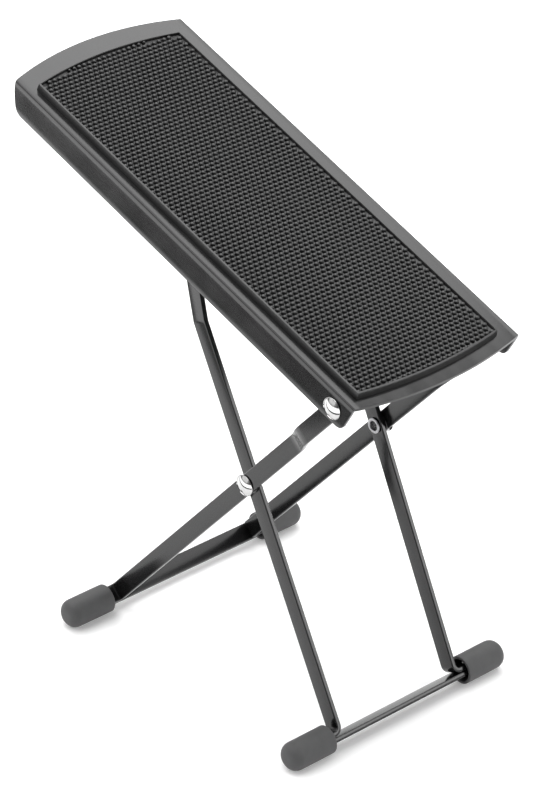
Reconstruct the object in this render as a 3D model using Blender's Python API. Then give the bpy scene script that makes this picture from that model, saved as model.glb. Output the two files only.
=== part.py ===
"""Folding footrest: a pressed tread plate with a rubber mat, carried by an outer and an
inner leg frame that cross as scissors. The rod across the top of the inner frame seats in
two notched racks under the plate. Metres, +Z up, standing on the floor on four end caps."""

import math

import bmesh
import bpy
import numpy as np
from mathutils import Matrix, Vector

for old in list(bpy.data.objects):
    bpy.data.objects.remove(old, do_unlink=True)

# ------------------------------------------------------------------ driving dimensions
PLATE_W = 0.1112          # across the plate, outside the flanges
PLATE_L = 0.2640          # straight length of one long side
SAG_HIGH = 0.0089         # bulge of the rounded end at the high side
SAG_LOW = 0.0065          # bulge of the rounded end at the low side
SHEET_T = 0.0017          # sheet thickness of the plate
BEND_R = 0.0014           # outside radius of the bend between top and flange
BEND_IN_R = 0.0004        # inside radius of the same bend
FLANGE_H = 0.01745        # top face down to the lower edge of the flange
FLANGE_SET_HIGH = 0.0055  # how far the flange end slants back at the high side
FLANGE_SET_LOW = 0.0036   # how far the flange end slants back at the low side
FLANGE_CORNER = 0.0034    # radius of the lower corners of the flange
PLATE_TILT = math.radians(15.2)

PIVOT_FROM_CORNER = 0.01215   # plate pivot, in from the low corner
PIVOT_BELOW_TOP = 0.00974     # plate pivot, below the top face

MAT_T = 0.0035            # mat thickness, studs included
MAT_Y = (-0.0495, 0.0438)     # upper edge of the mat, near and far side
MAT_X = (0.00485, 0.2535)     # upper corners of the mat, measured from the low corner
MAT_SAG_LOW = 0.0038
MAT_SAG_HIGH = 0.0050
MAT_DRAFT = 0.0003        # how far the side of the mat slopes out to its foot
MAT_RIM = 0.0012          # smooth border round the stud field
STUD_SINK = 0.0005        # the stud field lies this much under the border

STRIP_W = 0.0097          # flat bar of legs and crossbars
STRIP_T = 0.0027

OUTER_ANGLE = math.radians(50.76)   # outer legs above the floor
OUTER_FOOT_TO_CROSS = 0.15373
OUTER_CROSS_TO_PIVOT = 0.10585
OUTER_Y = 0.04780         # outer face of the outer leg, from the middle plane
OUTER_JOG = 0.0054        # outward step of the leg below the plate pivot
OUTER_JOG_AT = (0.0560, 0.0680)     # its two bends, measured from the crossing
OUTER_JOG_R = 0.016
OUTER_BEND_R = 0.0012     # inside radius of the bend at the foot

INNER_FOOT_TO_CROSS = 0.13674
INNER_CROSS_TO_ROD = 0.13670
INNER_Y = 0.04372         # outer face of the inner leg at the crossing
INNER_LEAN = 0.014        # the inner legs lie this much closer per metre towards the feet
INNER_KINK = (0.0850, 0.1240)       # the two bends below the rod, from the crossing
INNER_KINK_IN = 0.0070    # inward step between them
INNER_BEND_R = 0.0024

CAP_R = 0.00775
CAP_BORE_R = 0.0062
CAP_ROUND = 0.0056        # rounding of the closed end
CAP_OUTER_Y = (0.0537, 0.0814)      # mouth and closed end, outer frame
CAP_INNER_Y = (0.0467, 0.0744)      # mouth and closed end, inner frame
CAP_FLOOR = 0.0030        # thickness of the closed end

HEAD_R = 0.0058           # domed rivet heads
HEAD_H = 0.0021
SHANK_R = 0.0030
FLARE_R = 0.0042          # rolled rim of the rivet tail
FLARE_H = 0.0010
TAIL_BORE_R = 0.0025
HOLE_R = 0.00309          # holes for rivets and rod

ROD_R = 0.0030
ROD_HALF = 0.0443         # half the length of the rod

RACK_Y = (0.0386, 0.0404) # upright wall of the rack, from the middle plane
RACK_FOOT = 0.0080        # flange of the rack that lies under the plate
RACK_T = 0.0018
RACK_DROP = 0.0112        # lower edge of the rack below the top face
NOTCHES = 6
NOTCH_PITCH = 0.0105
FOLD = math.radians(65.5) # plate from this height to folded flat
FOLD_RATIO = 1.6875       # turn of the inner frame for each turn of the plate
TOOTH_CLEAR = 0.00015     # between the tips of the teeth and the path of the rod

FOOT_RIVET_R = 0.0016     # rivet that holds leg tab and crossbar together
FOOT_RIVET_HEAD_R = 0.0029
GAP = 0.0003              # clearance between pieces that bear on each other

# ------------------------------------------------------------------ derived positions
CROSS_H = OUTER_FOOT_TO_CROSS * math.sin(OUTER_ANGLE)
INNER_ANGLE = math.asin(CROSS_H / INNER_FOOT_TO_CROSS)
X_AXIS = np.array([1.0, 0.0, 0.0])
OUTER_DIR = np.array([math.cos(OUTER_ANGLE), 0.0, math.sin(OUTER_ANGLE)])
INNER_DIR = np.array([-math.cos(INNER_ANGLE), 0.0, math.sin(INNER_ANGLE)])
PLATE_UP = np.array([-math.cos(PLATE_TILT), 0.0, math.sin(PLATE_TILT)])
PLATE_N = np.array([math.sin(PLATE_TILT), 0.0, math.cos(PLATE_TILT)])

foot_outer = np.array([0.0, 0.0, CAP_R])
crossing = foot_outer + OUTER_FOOT_TO_CROSS * OUTER_DIR
pivot = crossing + OUTER_CROSS_TO_PIVOT * OUTER_DIR
low_corner = pivot - PIVOT_FROM_CORNER * PLATE_UP + PIVOT_BELOW_TOP * PLATE_N
x_far = (low_corner + (PLATE_L + SAG_HIGH) * PLATE_UP)[0]
x_near = (low_corner - SAG_LOW * PLATE_UP)[0]
shift = -0.5 * (x_far + x_near) * X_AXIS      # the middle of the whole lies over the origin
foot_outer, crossing, pivot, low_corner = (p + shift for p in (foot_outer, crossing, pivot, low_corner))
rod = crossing + INNER_CROSS_TO_ROD * INNER_DIR
ROD_ALONG = float(np.dot(rod - low_corner, PLATE_UP))     # from the low corner
ROD_BELOW = float(-np.dot(rod - low_corner, PLATE_N))     # below the top face


# ------------------------------------------------------------------ helpers
def material(name, colour, roughness, metallic):
    made = bpy.data.materials.new(name)
    made.use_nodes = True
    shader = made.node_tree.nodes["Principled BSDF"]
    shader.inputs["Base Color"].default_value = (*colour, 1.0)
    shader.inputs["Roughness"].default_value = roughness
    shader.inputs["Metallic"].default_value = metallic
    made.diffuse_color = (*colour, 1.0)
    return made


def empty(name, position, angle):
    """A frame for one body: local X runs along the piece, local Y stays across."""
    made = bpy.data.objects.new(name, None)
    made.location = Vector(position)
    made.rotation_euler = (0.0, angle, 0.0)
    made.empty_display_size = 0.02
    bpy.context.collection.objects.link(made)
    return made


def new_object(name, points, faces, parent, mat, smooth=False):
    mesh = bpy.data.meshes.new(name)
    mesh.from_pydata([tuple(p) for p in points], [], [tuple(f) for f in faces])
    mesh.validate()
    bm = bmesh.new()
    bm.from_mesh(mesh)
    bmesh.ops.recalc_face_normals(bm, faces=bm.faces)
    bm.to_mesh(mesh)
    bm.free()
    made = bpy.data.objects.new(name, mesh)
    bpy.context.collection.objects.link(made)
    if parent is not None:
        made.parent = parent
    if mat is not None:
        mesh.materials.append(mat)
    if smooth:
        mesh.shade_smooth()
        mesh.set_sharp_from_angle(angle=math.radians(32))
    return made


def prism(name, outline, lo, hi, axis, parent, mat, smooth=False):
    """Extrudes a closed outline along one local axis: 'y' takes (x, z) points, 'z' takes (x, y)."""
    n = len(outline)
    points = []
    for end in (lo, hi):
        for a, b in outline:
            points.append((a, end, b) if axis == "y" else (a, b, end))
    faces = [tuple(range(n)), tuple(range(2 * n - 1, n - 1, -1))]
    faces += [(i, (i + 1) % n, n + (i + 1) % n, n + i) for i in range(n)]
    return new_object(name, points, faces, parent, mat, smooth)


def boolean(target, cutter, operation="DIFFERENCE"):
    cutter.hide_render = True
    cutter.display_type = "WIRE"
    mod = target.modifiers.new("cut_" + cutter.name, "BOOLEAN")
    mod.operation = operation
    mod.object = cutter
    mod.solver = "EXACT"
    return mod


def lathe(name, profile, y_axis_at, parent, mat, segments=32, smooth=True):
    """Turns (radius, y) points about a line along Y through the local point (x, z). The
    profile runs from the axis round to the axis again."""
    x0, z0 = y_axis_at
    points, faces, rings = [], [], []
    for radius, y in profile:
        if radius < 1e-7:
            rings.append([len(points)])
            points.append((x0, y, z0))
            continue
        ring = []
        for k in range(segments):
            a = 2.0 * math.pi * k / segments
            ring.append(len(points))
            points.append((x0 + radius * math.cos(a), y, z0 + radius * math.sin(a)))
        rings.append(ring)
    for first, second in zip(rings, rings[1:]):
        if len(first) == 1 and len(second) == 1:
            continue
        for k in range(segments):
            j = (k + 1) % segments
            if len(first) == 1:
                faces.append((first[0], second[k], second[j]))
            elif len(second) == 1:
                faces.append((first[k], second[0], first[j]))
            else:
                faces.append((first[k], second[k], second[j], first[j]))
    return new_object(name, points, faces, parent, mat, smooth)


def arc(cx, cy, radius, a0, a1, steps):
    return [(cx + radius * math.cos(a0 + (a1 - a0) * i / steps),
             cy + radius * math.sin(a0 + (a1 - a0) * i / steps)) for i in range(steps + 1)]


def thick_path(path, radii, thickness, steps=6):
    """Outline of a bar of this thickness whose middle line is the path; radii gives the
    inside radius at each inner corner."""
    path = [np.array(p, float) for p in path]
    left, right = [], []

    def both(point, direction):
        n = np.array([-direction[1], direction[0]])
        left.append(point + n * thickness / 2)
        right.append(point - n * thickness / 2)

    d = (path[1] - path[0]) / np.linalg.norm(path[1] - path[0])
    both(path[0], d)
    for i in range(1, len(path) - 1):
        d0 = (path[i] - path[i - 1]) / np.linalg.norm(path[i] - path[i - 1])
        d1 = (path[i + 1] - path[i]) / np.linalg.norm(path[i + 1] - path[i])
        turn = math.atan2(d0[0] * d1[1] - d0[1] * d1[0], float(np.dot(d0, d1)))
        radius = radii[i - 1] + thickness / 2
        back = radius * math.tan(abs(turn) / 2)
        side = 1.0 if turn > 0 else -1.0
        start = path[i] - d0 * back
        centre = start + side * radius * np.array([-d0[1], d0[0]])
        for k in range(steps + 1):
            a = turn * k / steps
            c, s = math.cos(a), math.sin(a)
            direction = np.array([c * d0[0] - s * d0[1], s * d0[0] + c * d0[1]])
            point = centre - side * radius * np.array([-direction[1], direction[0]])
            both(point, direction)
    d = (path[-1] - path[-2]) / np.linalg.norm(path[-1] - path[-2])
    both(path[-1], d)
    return [tuple(p) for p in left] + [tuple(p) for p in reversed(right)]


def cylinder_cutter(name, x, z, radius, y0, y1, parent, segments=32):
    profile = [(0.0, y0), (radius, y0), (radius, y1), (0.0, y1)]
    return lathe(name, profile, (x, z), parent, None, segments, smooth=False)


# ------------------------------------------------------------------ materials
black_steel = material("black_lacquered_steel", (0.020, 0.020, 0.021), 0.34, 0.0)
black_rubber = material("ribbed_black_rubber", (0.016, 0.016, 0.016), 0.62, 0.0)
cap_vinyl = material("dark_grey_vinyl", (0.060, 0.060, 0.062), 0.48, 0.0)
bright_plate = material("nickel_plated_steel", (0.72, 0.72, 0.73), 0.14, 1.0)
zinc_plate = material("zinc_plated_steel", (0.48, 0.48, 0.50), 0.34, 1.0)

# ------------------------------------------------------------------ body frames
outer_frame = empty("outer_frame", foot_outer, -OUTER_ANGLE)
inner_frame = empty("inner_frame", crossing, -(math.pi - INNER_ANGLE))
plate_frame = empty("plate_frame", pivot, PLATE_TILT)
CROSS_X = OUTER_FOOT_TO_CROSS
PIVOT_X = OUTER_FOOT_TO_CROSS + OUTER_CROSS_TO_PIVOT
FOOT_IN_X = -INNER_FOOT_TO_CROSS
TAB_MID = GAP / 2 + STRIP_T / 2       # tab above, crossbar below the middle of the cap


# ------------------------------------------------------------------ tread plate
def plate_section():
    """(y, z, ny, nz) of the outer surface, from the near flange round to the far one."""
    top = PIVOT_BELOW_TOP
    half = PLATE_W / 2
    low = top - FLANGE_H
    side = []
    for k in range(9):                                    # flange, bottom to bend
        z = low + (top - BEND_R - low) * (k / 8) ** 1.25
        side.append((half, z, 1.0, 0.0))
    for k in range(1, 7):                                 # bend
        a = 0.5 * math.pi * k / 6
        side.append((half - BEND_R + BEND_R * math.cos(a), top - BEND_R + BEND_R * math.sin(a),
                     math.cos(a), math.sin(a)))
    across = []
    for k in range(1, 22):                                # top
        y = (half - BEND_R) * (1 - 2 * k / 22)
        across.append((y, top, 0.0, 1.0))
    far = [(-y, z, -ny, nz) for y, z, ny, nz in reversed(side)]
    return [(y, z, ny, nz) for y, z, ny, nz in side] + across + far


def end_offsets(y, z):
    """How far the sheet reaches past (or short of) its two corners at this point."""
    half = PLATE_W / 2
    top = PIVOT_BELOW_TOP

    def bulge(sag):
        radius = (half * half + sag * sag) / (2 * sag)
        return math.sqrt(max(radius * radius - y * y, 0.0)) - (radius - sag)

    down = top - z
    low_end, high_end = bulge(SAG_LOW), bulge(SAG_HIGH)
    if down > BEND_R * 0.3:
        part = (down - BEND_R * 0.3) / (FLANGE_H - BEND_R * 0.3)
        low_end -= FLANGE_SET_LOW * part ** 1.15
        high_end -= FLANGE_SET_HIGH * part ** 1.6
        rise = FLANGE_CORNER - (FLANGE_H - down)
        if rise > 0:                                      # rounded lower corner
            cut = FLANGE_CORNER - math.sqrt(max(FLANGE_CORNER ** 2 - rise ** 2, 0.0))
            low_end -= cut
            high_end -= cut
    return low_end, high_end


def inner_surface(y, z, ny, nz):
    """Point on the inside of the sheet that faces this point of the outside."""
    if abs(ny) < 1e-9 or abs(nz) < 1e-9:
        return y - ny * SHEET_T, z - nz * SHEET_T
    side = math.copysign(1.0, ny)
    return (side * (PLATE_W / 2 - SHEET_T - BEND_IN_R) + ny * BEND_IN_R,
            PIVOT_BELOW_TOP - SHEET_T - BEND_IN_R + nz * BEND_IN_R)


def build_plate():
    section = plate_section()
    points, faces = [], []
    for y, z, ny, nz in section:
        low_end, high_end = end_offsets(y, z)
        x_low = PIVOT_FROM_CORNER + low_end
        x_high = PIVOT_FROM_CORNER - PLATE_L - high_end
        yi, zi = inner_surface(y, z, ny, nz)
        points += [(x_high, y, z), (x_low, y, z), (x_high, yi, zi), (x_low, yi, zi)]
    last = len(section) - 1
    for i in range(last):
        a, b = 4 * i, 4 * (i + 1)
        faces += [(a, a + 1, b + 1, b), (a + 2, b + 2, b + 3, a + 3),
                  (a, b, b + 2, a + 2), (a + 1, a + 3, b + 3, b + 1)]
    faces += [(0, 2, 3, 1), (4 * last, 4 * last + 1, 4 * last + 3, 4 * last + 2)]
    plate = new_object("tread_plate", points, faces, plate_frame, black_steel, smooth=True)
    boolean(plate, cylinder_cutter("plate_pivot_bore", 0.0, 0.0, HOLE_R, -0.07, 0.07, plate_frame))
    return plate


build_plate()


# ------------------------------------------------------------------ rubber mat
def build_mat():
    top = PIVOT_BELOW_TOP
    y_mid = 0.5 * (MAT_Y[0] + MAT_Y[1])
    y_half = 0.5 * (MAT_Y[1] - MAT_Y[0])

    def outline(grow, steps=18):
        """Rounded-end outline, counted round from the low near corner."""
        half = y_half + grow
        ring = []
        for sag, base, sign, order in ((MAT_SAG_LOW, PIVOT_FROM_CORNER - MAT_X[0] + grow, 1, 1),
                                       (MAT_SAG_HIGH, PIVOT_FROM_CORNER - MAT_X[1] - grow, -1, -1)):
            radius = (half * half + sag * sag) / (2 * sag)
            for k in range(steps + 1):
                y = order * half * (2 * k / steps - 1)
                out = math.sqrt(radius * radius - y * y) - (radius - sag)
                ring.append((base + sign * out, y_mid + y))
        return ring

    rings = [(outline(MAT_DRAFT), top + GAP), (outline(0.0), top + MAT_T - 0.0002),
             (outline(-0.0002), top + MAT_T), (outline(-MAT_RIM), top + MAT_T),
             (outline(-MAT_RIM - 0.0003), top + MAT_T - STUD_SINK)]
    points, faces = [], []
    n = len(rings[0][0])
    for ring, z in rings:
        points += [(x, y, z) for x, y in ring]
    for r in range(len(rings) - 1):
        for k in range(n):
            j = (k + 1) % n
            faces.append((r * n + k, r * n + j, (r + 1) * n + j, (r + 1) * n + k))
    faces.append(tuple(range(n)))
    faces.append(tuple(reversed(range((len(rings) - 1) * n, len(rings) * n))))
    new_object("rubber_mat", points, faces, plate_frame, black_rubber)


build_mat()


# ------------------------------------------------------------------ notched racks
def rod_in_plate(fold):
    """Middle of the rod in the plate's frame when the plate has folded by this angle."""
    spread = math.pi - INNER_ANGLE - OUTER_ANGLE + FOLD_RATIO * fold
    along = OUTER_CROSS_TO_PIVOT - INNER_CROSS_TO_ROD * math.cos(spread)
    aside = INNER_CROSS_TO_ROD * math.sin(spread)
    reach = math.hypot(along, aside)
    turn = math.atan2(aside, along) - (OUTER_ANGLE + PLATE_TILT - fold)
    return -reach * math.cos(turn), reach * math.sin(turn)


ROD_PATH = [rod_in_plate(FOLD * k / 600) for k in range(601)]


def tooth_tip(x, bottom):
    """Lower edge of the rack at x: as low as the path of the rod leaves room for."""
    reach = ROD_R + TOOTH_CLEAR
    height = bottom
    for at, middle in ROD_PATH:
        if abs(x - at) < reach:
            height = max(height, middle + math.sqrt(reach * reach - (x - at) ** 2))
    return height


def build_rack(name, side):
    rod_x = PIVOT_FROM_CORNER - ROD_ALONG
    seat = PIVOT_BELOW_TOP - ROD_BELOW
    under = PIVOT_BELOW_TOP - SHEET_T - GAP
    bottom = PIVOT_BELOW_TOP - RACK_DROP
    slot = ROD_R + GAP
    x_low = rod_x + 0.0085
    x_high = rod_x - NOTCH_PITCH * (NOTCHES - 1) - 0.0058
    outline = [(x_high, under), (x_high, tooth_tip(x_high, bottom) + 0.0016)]
    start = x_high + 0.0012
    for k in range(NOTCHES - 1, -1, -1):                  # towards the low end
        x = rod_x - NOTCH_PITCH * k
        steps = 5
        outline += [(start + (x - slot - start) * i / steps,
                     tooth_tip(start + (x - slot - start) * i / steps, bottom)) for i in range(steps + 1)]
        outline += [(at, max(z, tooth_tip(at, bottom)))
                    for at, z in arc(x, seat, slot, math.pi, 0.0, 12)]
        start = x + slot
        outline.append((start, tooth_tip(start + 0.0001, bottom)))
    outline += [(x_low - 0.0015, bottom), (x_low, bottom + 0.0020), (x_low, under)]
    outline = [p for i, p in enumerate(outline)
               if i == 0 or math.dist(p, outline[i - 1]) > 0.00002]
    y0, y1 = sorted((side * RACK_Y[0], side * RACK_Y[1]))
    rack = prism(name, outline, y0, y1, "y", plate_frame, black_steel)
    f0, f1 = sorted((side * (RACK_Y[0] - RACK_FOOT), side * (RACK_Y[1] - 0.0004)))
    foot = prism(name + "_foot", [(x_high, under), (x_high, under - RACK_T), (x_low, under - RACK_T),
                                  (x_low, under)], f0, f1, "y", plate_frame, None)
    boolean(rack, foot, "UNION")


build_rack("rack_left", -1)
build_rack("rack_right", 1)


# ------------------------------------------------------------------ leg frames
def build_outer_leg(name, side):
    mid = OUTER_Y - STRIP_T / 2
    path = [(TAB_MID, side * 0.0740), (TAB_MID, side * mid),
            (CROSS_X + OUTER_JOG_AT[0], side * mid),
            (CROSS_X + OUTER_JOG_AT[1], side * (mid + OUTER_JOG)),
            (PIVOT_X + STRIP_W / 2 + 0.002, side * (mid + OUTER_JOG))]
    outline = thick_path(path, [OUTER_BEND_R, OUTER_JOG_R, OUTER_JOG_R], STRIP_T, 8)
    leg = prism(name, outline, -STRIP_W / 2, STRIP_W / 2, "z", outer_frame, black_steel, smooth=True)
    end = [(-0.02, -STRIP_W / 2 - 0.001), (PIVOT_X, -STRIP_W / 2 - 0.001)]
    end += arc(PIVOT_X, 0.0, STRIP_W / 2, -math.pi / 2, math.pi / 2, 14)
    end += [(PIVOT_X, STRIP_W / 2 + 0.001), (-0.02, STRIP_W / 2 + 0.001)]
    boolean(leg, prism(name + "_end", end, -0.1, 0.1, "y", outer_frame, None), "INTERSECT")
    for label, x in (("cross", CROSS_X), ("pivot", PIVOT_X)):
        boolean(leg, cylinder_cutter(name + "_" + label + "_bore", x, 0.0, HOLE_R,
                                     -0.1 if side < 0 else 0.01, -0.01 if side < 0 else 0.1, outer_frame))
    foot_bore(leg, name, 0.0, CAP_OUTER_Y, side, outer_frame)


def inner_y(x):
    """Outer face of the inner leg at this height along it, before the upper step."""
    return INNER_Y + INNER_LEAN * x


def build_inner_leg(name, side):
    half = STRIP_T / 2
    foot_x = FOOT_IN_X + TAB_MID
    end_x = INNER_CROSS_TO_ROD + STRIP_W / 2 + 0.002
    top_y = inner_y(INNER_KINK[0]) - half - INNER_KINK_IN
    path = [(foot_x, side * 0.0680), (foot_x, side * (inner_y(foot_x) - half)),
            (INNER_KINK[0], side * (inner_y(INNER_KINK[0]) - half)),
            (INNER_KINK[1], side * top_y), (end_x, side * top_y)]
    outline = thick_path(path, [INNER_BEND_R, 0.006, 0.006], STRIP_T)
    leg = prism(name, outline, -STRIP_W / 2, STRIP_W / 2, "z", inner_frame, black_steel, smooth=True)
    x = INNER_CROSS_TO_ROD
    end = [(FOOT_IN_X - 0.02, -STRIP_W / 2 - 0.001), (x, -STRIP_W / 2 - 0.001)]
    end += arc(x, 0.0, STRIP_W / 2, -math.pi / 2, math.pi / 2, 14)
    end += [(x, STRIP_W / 2 + 0.001), (FOOT_IN_X - 0.02, STRIP_W / 2 + 0.001)]
    boolean(leg, prism(name + "_end", end, -0.1, 0.1, "y", inner_frame, None), "INTERSECT")
    for label, at in (("cross", 0.0), ("rod", x)):
        boolean(leg, cylinder_cutter(name + "_" + label + "_bore", at, 0.0, HOLE_R,
                                     -0.1 if side < 0 else 0.01, -0.01 if side < 0 else 0.1, inner_frame))
    foot_bore(leg, name, FOOT_IN_X, CAP_INNER_Y, side, inner_frame)


def foot_bore(target, name, foot_x, cap_y, side, parent):
    """Hole along the leg direction for the rivet through tab and crossbar."""
    y = side * (cap_y[0] + 0.0062)
    ring = [(FOOT_RIVET_R + GAP) * np.array([math.cos(a), math.sin(a)])
            for a in np.linspace(0, 2 * math.pi, 24, endpoint=False)]
    n = len(ring)
    points = [(foot_x + end, y + p[0], p[1]) for end in (-0.006, 0.006) for p in ring]
    faces = [tuple(range(n)), tuple(range(2 * n - 1, n - 1, -1))]
    faces += [(i, (i + 1) % n, n + (i + 1) % n, n + i) for i in range(n)]
    boolean(target, new_object(name + "_foot_bore", points, faces, parent, None))


def build_crossbar(name, foot_x, reach, cap_y, parent):
    x1 = foot_x - GAP / 2
    x0 = x1 - STRIP_T
    outline = [(x0, -reach), (x1, -reach), (x1, reach), (x0, reach)]
    bar = prism(name, outline, -STRIP_W / 2, STRIP_W / 2, "z", parent, black_steel)
    foot_bore(bar, name + "_l", foot_x, cap_y, -1, parent)
    foot_bore(bar, name + "_r", foot_x, cap_y, 1, parent)


build_outer_leg("outer_leg_left", -1)
build_outer_leg("outer_leg_right", 1)
build_inner_leg("inner_leg_left", -1)
build_inner_leg("inner_leg_right", 1)
build_crossbar("outer_crossbar", 0.0, 0.0740, CAP_OUTER_Y, outer_frame)
build_crossbar("inner_crossbar", FOOT_IN_X, 0.0680, CAP_INNER_Y, inner_frame)


# ------------------------------------------------------------------ end caps
def build_cap(name, foot_x, cap_y, side, parent):
    mouth, end = cap_y
    lip = 0.0004
    profile = [(0.0, end - CAP_FLOOR), (CAP_BORE_R - 0.0012, end - CAP_FLOOR),
               (CAP_BORE_R, end - CAP_FLOOR - 0.0012), (CAP_BORE_R, mouth + lip),
               (CAP_BORE_R + lip, mouth), (CAP_R - lip, mouth), (CAP_R, mouth + lip)]
    profile += [(CAP_R - CAP_ROUND + r, end - CAP_ROUND + y)
                for r, y in arc(0.0, 0.0, CAP_ROUND, 0.0, math.pi / 2, 7)]
    profile += [(0.0, end)]
    lathe(name, [(r, side * y) for r, y in profile], (foot_x, 0.0), parent, cap_vinyl, 40)


build_cap("cap_outer_left", 0.0, CAP_OUTER_Y, -1, outer_frame)
build_cap("cap_outer_right", 0.0, CAP_OUTER_Y, 1, outer_frame)
build_cap("cap_inner_left", FOOT_IN_X, CAP_INNER_Y, -1, inner_frame)
build_cap("cap_inner_right", FOOT_IN_X, CAP_INNER_Y, 1, inner_frame)


# ------------------------------------------------------------------ rivets and washers
def build_rivet(name, x, head_y, tail_y, side, parent):
    """Domed head outside head_y, rolled hollow tail inside tail_y, both distances from the
    middle plane."""
    profile = [(0.0, head_y + HEAD_H)]
    ball = (HEAD_R ** 2 + HEAD_H ** 2) / (2 * HEAD_H)
    top_angle = math.asin(HEAD_R / ball)
    for k in range(1, 8):
        a = top_angle * k / 7
        profile.append((ball * math.sin(a), head_y + HEAD_H - ball * (1 - math.cos(a))))
    profile[-1] = (HEAD_R, head_y + 0.0003)
    profile += [(HEAD_R - 0.0002, head_y), (SHANK_R, head_y), (SHANK_R, tail_y)]
    profile += [(FLARE_R - 0.0003, tail_y), (FLARE_R, tail_y - 0.0004), (FLARE_R - 0.0004, tail_y - 0.0009),
                (TAIL_BORE_R + 0.0006, tail_y - FLARE_H), (TAIL_BORE_R, tail_y - FLARE_H + 0.0006),
                (TAIL_BORE_R, tail_y + 0.0022), (0.0, tail_y + 0.0030)]
    lathe(name, [(r, side * y) for r, y in profile], (x, 0.0), parent, bright_plate, 32)


inner_face_at_cross = inner_y(0.0) - STRIP_T
outer_head_y = OUTER_Y + GAP
inner_tail_y = inner_face_at_cross - GAP - 0.0001
for label, side in (("left", -1), ("right", 1)):
    build_rivet("cross_rivet_" + label, CROSS_X, outer_head_y, inner_tail_y, side, outer_frame)
    build_rivet("plate_rivet_" + label, PIVOT_X, PLATE_W / 2 + GAP,
                OUTER_Y + OUTER_JOG - STRIP_T - GAP, side, outer_frame)
    y0 = inner_y(0.0) + GAP
    y1 = OUTER_Y - STRIP_T - GAP
    profile = [(SHANK_R + GAP, y0), (0.0055, y0), (0.0055, y1), (SHANK_R + GAP, y1), (SHANK_R + GAP, y0)]
    lathe("cross_washer_" + label, [(r, side * y) for r, y in profile], (CROSS_X, 0.0), outer_frame,
          zinc_plate, 32)


def build_foot_rivet(name, foot_x, cap_y, side, parent):
    """Short rivet along the leg direction, head on the tab, closing head under the crossbar."""
    up = foot_x + GAP / 2 + STRIP_T + GAP
    down = foot_x - GAP / 2 - STRIP_T - GAP
    y = side * (cap_y[0] + 0.0062)
    head_h, tail_h = 0.0011, 0.0008
    profile = [(0.0, up + head_h), (0.0012, up + head_h - 0.0001), (0.0022, up + head_h - 0.0005),
               (FOOT_RIVET_HEAD_R, up), (FOOT_RIVET_R, up), (FOOT_RIVET_R, down),
               (FOOT_RIVET_HEAD_R - 0.0004, down), (FOOT_RIVET_HEAD_R - 0.0008, down - tail_h),
               (0.0, down - tail_h)]
    segments = 24
    points, faces, rings = [], [], []
    for radius, x in profile:
        if radius < 1e-7:
            rings.append([len(points)])
            points.append((x, y, 0.0))
            continue
        rings.append(list(range(len(points), len(points) + segments)))
        points += [(x, y + radius * math.cos(2 * math.pi * k / segments),
                    radius * math.sin(2 * math.pi * k / segments)) for k in range(segments)]
    for first, second in zip(rings, rings[1:]):
        for k in range(segments):
            j = (k + 1) % segments
            if len(first) == 1:
                faces.append((first[0], second[k], second[j]))
            elif len(second) == 1:
                faces.append((first[k], second[0], first[j]))
            else:
                faces.append((first[k], second[k], second[j], first[j]))
    new_object(name, points, faces, parent, zinc_plate, smooth=True)


build_foot_rivet("foot_rivet_outer_left", 0.0, CAP_OUTER_Y, -1, outer_frame)
build_foot_rivet("foot_rivet_outer_right", 0.0, CAP_OUTER_Y, 1, outer_frame)
build_foot_rivet("foot_rivet_inner_left", FOOT_IN_X, CAP_INNER_Y, -1, inner_frame)
build_foot_rivet("foot_rivet_inner_right", FOOT_IN_X, CAP_INNER_Y, 1, inner_frame)

# ------------------------------------------------------------------ rod across the inner frame
edge = 0.0005
lathe("ratchet_rod", [(0.0, -ROD_HALF), (ROD_R - edge, -ROD_HALF), (ROD_R, -ROD_HALF + edge),
                      (ROD_R, ROD_HALF - edge), (ROD_R - edge, ROD_HALF), (0.0, ROD_HALF)],
      (INNER_CROSS_TO_ROD, 0.0), inner_frame, zinc_plate, 32)

bpy.context.view_layer.update()
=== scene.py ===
"""Looks of the folding footrest: finely modelled plate, studded mat, rounded flat bar, vinyl
caps and bright rivets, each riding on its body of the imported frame. Metres, +Z up."""

import math
import random

import bmesh
import bpy
import numpy as np
from mathutils import Matrix, Vector, noise


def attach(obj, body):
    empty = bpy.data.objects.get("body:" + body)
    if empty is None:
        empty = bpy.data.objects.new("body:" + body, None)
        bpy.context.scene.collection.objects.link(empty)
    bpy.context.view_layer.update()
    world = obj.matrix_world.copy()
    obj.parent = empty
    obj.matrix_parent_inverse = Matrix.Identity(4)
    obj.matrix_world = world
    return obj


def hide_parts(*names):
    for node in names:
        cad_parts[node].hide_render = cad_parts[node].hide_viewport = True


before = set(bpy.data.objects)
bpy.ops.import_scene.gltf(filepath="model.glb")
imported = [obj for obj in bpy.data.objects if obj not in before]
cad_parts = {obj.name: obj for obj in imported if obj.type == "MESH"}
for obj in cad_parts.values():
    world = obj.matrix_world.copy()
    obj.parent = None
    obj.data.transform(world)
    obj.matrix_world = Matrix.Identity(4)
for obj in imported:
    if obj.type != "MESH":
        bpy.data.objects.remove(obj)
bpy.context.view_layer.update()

# ------------------------------------------------------------------ dimensions of the object
PLATE_W, PLATE_L = 0.1112, 0.2640
SAG_HIGH, SAG_LOW = 0.0089, 0.0065
SHEET_T, BEND_R, BEND_IN_R, FLANGE_H = 0.0017, 0.0014, 0.0004, 0.01745
EASE_ANGLE, EASE_R = math.radians(12.0), 0.011     # flange runs out of the bend in a wide curve
FLANGE_SET_HIGH, FLANGE_SET_LOW, FLANGE_CORNER = 0.0055, 0.0036, 0.0034
TILT = math.radians(15.2)
PIVOT_FROM_CORNER, PIVOT_BELOW_TOP = 0.01215, 0.00974
MAT_T = 0.0035
MAT_Y = (-0.0495, 0.0438)
MAT_X = (0.00485, 0.2535)
MAT_SAG_LOW, MAT_SAG_HIGH = 0.0038, 0.0050
MAT_DRAFT, MAT_RIM, RIM_SLIDE = 0.0003, 0.00078, 0.00036
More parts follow.
